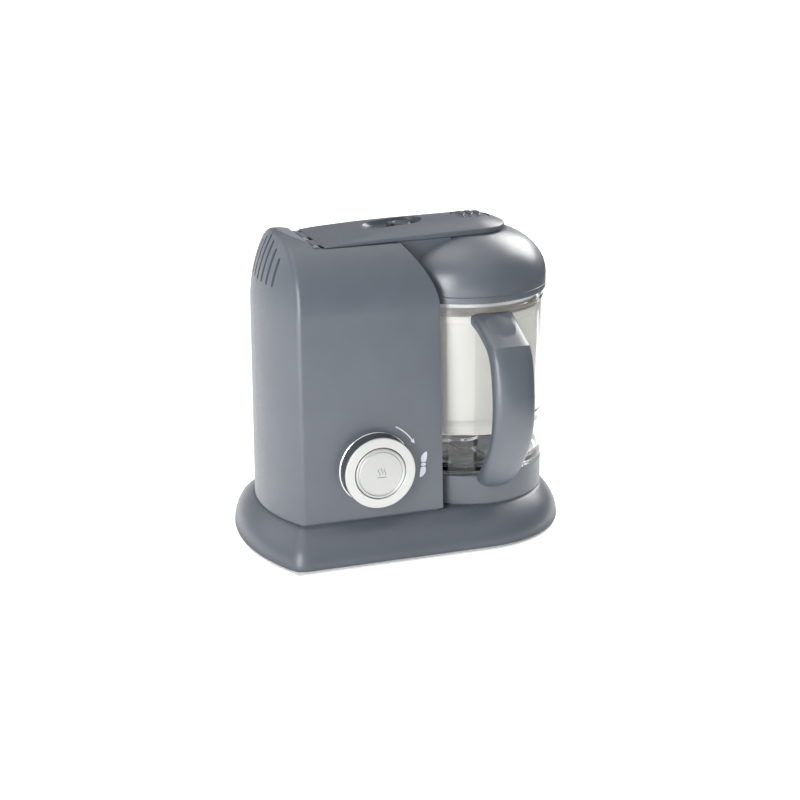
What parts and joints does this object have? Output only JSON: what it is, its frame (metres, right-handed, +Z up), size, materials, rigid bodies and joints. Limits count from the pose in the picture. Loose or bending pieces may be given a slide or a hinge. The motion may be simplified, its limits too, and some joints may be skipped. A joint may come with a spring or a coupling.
{
  "type": "baby food maker",
  "caption": "Countertop steam cooker and blender for baby food with a clear bowl, side handle, domed lid on a hinged arm and a front knob with a push button.",
  "frame": {"origin": "middle of the footprint's bounding box on the surface the part stands on, under the feet", "axes": "+X from the tower towards the bowl, +Y to the rear, so the knob and handle face -Y, +Z up"},
  "size_m": [0.2592, 0.1985, 0.249],
  "materials": {
    "shell": "satin slate-grey moulded plastic",
    "lid_shell": "satin slate-grey moulded plastic",
    "arm_shell": "satin slate-grey moulded plastic",
    "handle_shell": "satin slate-grey moulded plastic",
    "pad_shell": "satin slate-grey moulded plastic",
    "arm_under": "satin",
    "pan": "light moulded plastic",
    "foot_rubber": "matt rubber",
    "dark_rubber": "matt rubber",
    "belt_rubber": "matt rubber",
    "silicone": "translucent silicone",
    "screw_steel": "zinc plated",
    "ivory_plastic": "moulded",
    "bush_metal": "turned",
    "motor_steel": "pressed",
    "bracket_steel": "zinc plated",
    "tank_steel": "brushed stainless",
    "inner_plastic": "moulded",
    "heater_metal": "heat-tinted",
    "board_green": "laminate",
    "bezel": "satin",
    "hinge_metal": "satin",
    "pin_steel": "ground",
    "dog_plastic": "moulded",
    "knob_dark": "satin",
    "knob_silver": "satin anodised",
    "button_silver": "satin anodised",
    "spring_steel": "bright",
    "bowl_clear": "clear",
    "hub_plastic": "moulded",
    "blade_steel": "polished",
    "basket_frost": "translucent off-white",
    "lid_inner_white": "translucent white",
    "catch_plastic": "satin"
  },
  "bodies": {
    "base": {"plinth": "shell", "base_pan": "pan", "rubber_feet": "foot_rubber", "base_screws": "screw_steel", "tower_front": "shell", "tower_rear": "shell", "bowl_seat": "shell", "cord_gland": "dark_rubber", "terminal_block": "ivory_plastic", "bearing_block": "bush_metal", "motor_can": "motor_steel", "motor_bracket": "bracket_steel", "motor_screws": "screw_steel", "drive_belt": "belt_rubber", "water_tank": "tank_steel", "tank_neck": "tank_steel", "tank_cradle": "inner_plastic", "heating_element": "heater_metal", "control_board": "board_green", "rotary_switch": "ivory_plastic", "knob_bezel": "bezel", "steam_nozzle": "silicone", "hinge_lugs": "hinge_metal", "hinge_pin": "pin_steel"},
    "motor": {"motor_rotor": "motor_steel", "motor_pulley": "inner_plastic"},
    "drive": {"drive_shaft": "pin_steel", "driven_pulley": "inner_plastic", "drive_dog": "dog_plastic"},
    "knob": {"knob_cup": "knob_dark", "knob_face": "knob_silver", "knob_stem": "pin_steel", "button_spring": "spring_steel"},
    "button": {"steam_button": "button_silver", "button_stem": "ivory_plastic"},
    "bowl": {"bowl": "bowl_clear", "bowl_foot": "bowl_clear", "bowl_handle": "handle_shell", "shaft_bush": "bush_metal"},
    "blades": {"blade_hub": "hub_plastic", "blade_set": "blade_steel", "blade_socket": "dog_plastic"},
    "basket": {"steam_basket": "basket_frost", "basket_floor": "basket_frost"},
    "lid": {"lid_dome": "lid_shell", "lid_inner": "lid_inner_white", "lid_seal": "silicone", "inlet_seal": "silicone", "arm": "arm_shell", "arm_base": "arm_under", "tank_plug": "silicone", "pad_spring": "spring_steel"},
    "pad": {"release_pad": "pad_shell"},
    "catch": {"recess_catch": "catch_plastic"}
  },
  "joints": [
    {"name": "motor_spin", "type": "hinge", "parent": "base", "child": "motor", "pos_m": [-0.0496, 0.0243, 0.05], "axis": [0, 0, 1], "continuous": true},
    {"name": "drive_spin", "type": "hinge", "parent": "base", "child": "drive", "pos_m": [0.0544, 0.0143, 0.03], "axis": [0, 0, 1], "continuous": true},
    {"name": "bowl_lift", "type": "slide", "parent": "base", "child": "bowl", "axis": [0, 0, 1], "range_m": [0, 0.006]},
    {"name": "blade_spin", "type": "hinge", "parent": "bowl", "child": "blades", "pos_m": [0.0544, 0.0143, 0.06], "axis": [0, 0, 1], "continuous": true},
    {"name": "basket_lift", "type": "slide", "parent": "bowl", "child": "basket", "axis": [0, 0, 1], "range_m": [0, 0.006]},
    {"name": "knob_turn", "type": "hinge", "parent": "base", "child": "knob", "pos_m": [-0.0392, -0.0507, 0.0707], "axis": [0, 1, 0], "range_deg": [0, 45], "stiffness_Nm_per_rad": 0.06},
    {"name": "button_press", "type": "slide", "parent": "knob", "child": "button", "axis": [0, 1, 0], "range_m": [0, 0.0025], "stiffness_N_per_m": 500, "deforming": ["button_spring"]},
    {"name": "lid_hinge", "type": "hinge", "parent": "base", "child": "lid", "pos_m": [-0.0726, 0.0143, 0.234], "axis": [0, -1, 0], "range_deg": [0, 80]},
    {"name": "pad_press", "type": "slide", "parent": "lid", "child": "pad", "axis": [0, 0, -1], "range_m": [0, 0.0015], "stiffness_N_per_m": 800, "deforming": ["pad_spring"]},
    {"name": "catch_slide", "type": "slide", "parent": "lid", "child": "catch", "axis": [-1, 0, 0], "range_m": [0, 0.006], "stiffness_N_per_m": 300}
  ],
  "couplings": [
    {"joint": "drive_spin", "follows": "motor_spin", "ratio": 0.40909},
    {"joint": "blade_spin", "follows": "motor_spin", "ratio": 0.40909}
  ]
}
